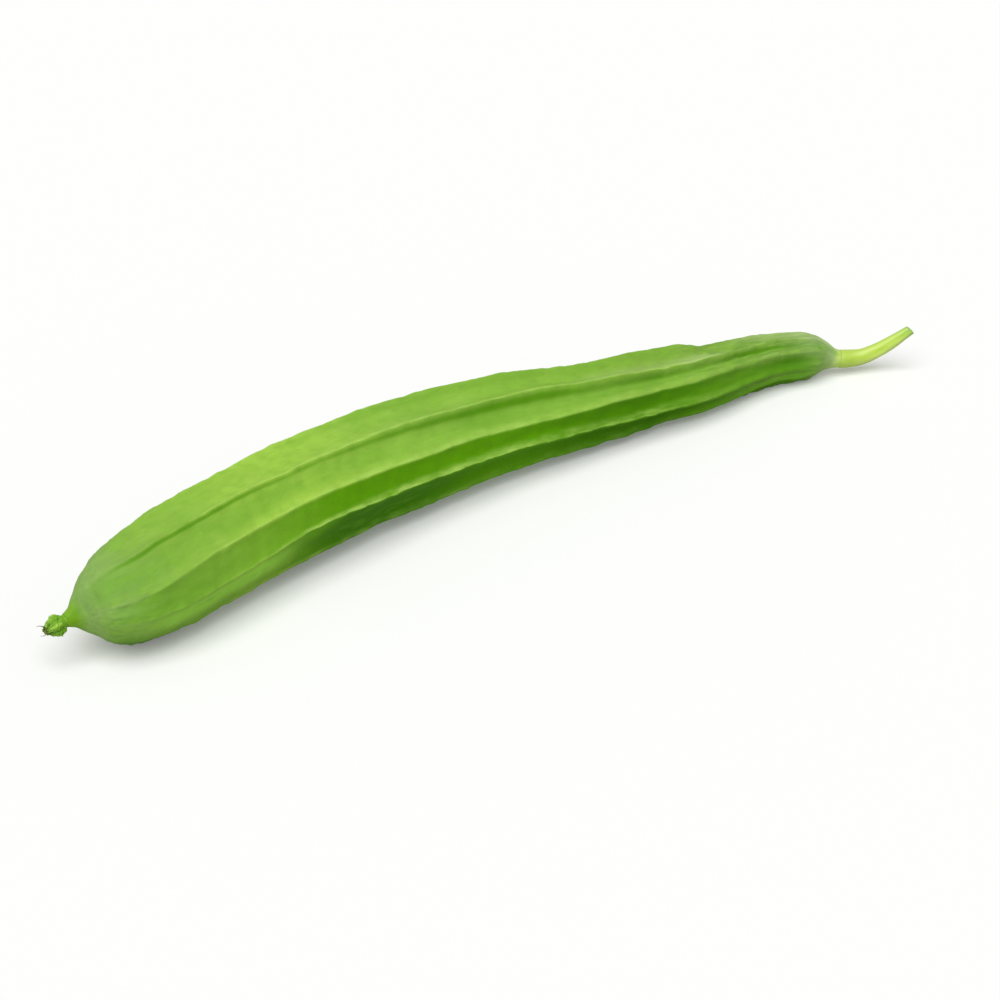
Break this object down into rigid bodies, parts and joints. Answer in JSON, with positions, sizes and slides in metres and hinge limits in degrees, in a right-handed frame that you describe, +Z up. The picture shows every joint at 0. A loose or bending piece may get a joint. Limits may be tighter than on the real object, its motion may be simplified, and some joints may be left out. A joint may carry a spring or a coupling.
{
  "type": "ridge gourd",
  "caption": "Whole ridge gourd as picked, lying on its side: a long, gently bent green fruit with keeled ridges, a pale cut stem and a withered flower in dry sepals.",
  "frame": {"origin": "middle of the overall box in plan, on the surface that the gourd lies on", "axes": "+X along the fruit from the withered flower to the stem, +Z up, +Y towards the outer side of its bend"},
  "size_m": [0.4402, 0.0701, 0.0474],
  "materials": {
    "skin": "satin",
    "stem": "satin",
    "sepal": "matte",
    "flower": "matte"
  },
  "bodies": {
    "root": {"fruit": "skin", "stem": "stem", "sepal_1": "sepal", "sepal_2": "sepal", "sepal_3": "sepal", "sepal_4": "sepal", "sepal_5": "sepal", "withered_flower": "flower"}
  },
  "joints": []
}
